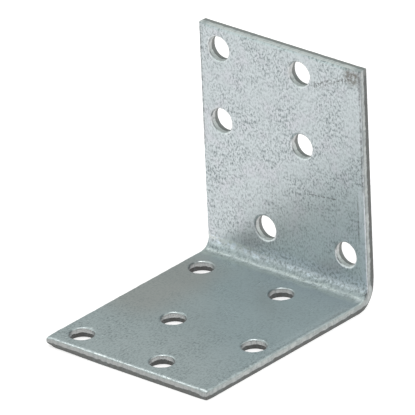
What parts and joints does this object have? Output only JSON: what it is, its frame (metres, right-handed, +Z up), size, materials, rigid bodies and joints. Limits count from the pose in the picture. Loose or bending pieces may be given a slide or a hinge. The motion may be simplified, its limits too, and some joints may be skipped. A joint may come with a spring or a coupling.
{
  "type": "corner brace bracket",
  "caption": "L-shaped corner brace folded from galvanised steel strip, with staggered round screw holes in both legs for joining members at a right angle.",
  "frame": {"origin": "centre of the bounding box's bottom, on the plane of the base leg's underside", "axes": "+Z up along the upright leg, +Y out of the upright's back face, so the base leg runs forward along -Y, and X across the strip"},
  "size_m": [0.04, 0.05, 0.05],
  "materials": {
    "zinc_coated_sheet": "galvanised, satin, with a fine grey speckle"
  },
  "bodies": {
    "root": {"bracket": "zinc_coated_sheet"}
  },
  "joints": []
}
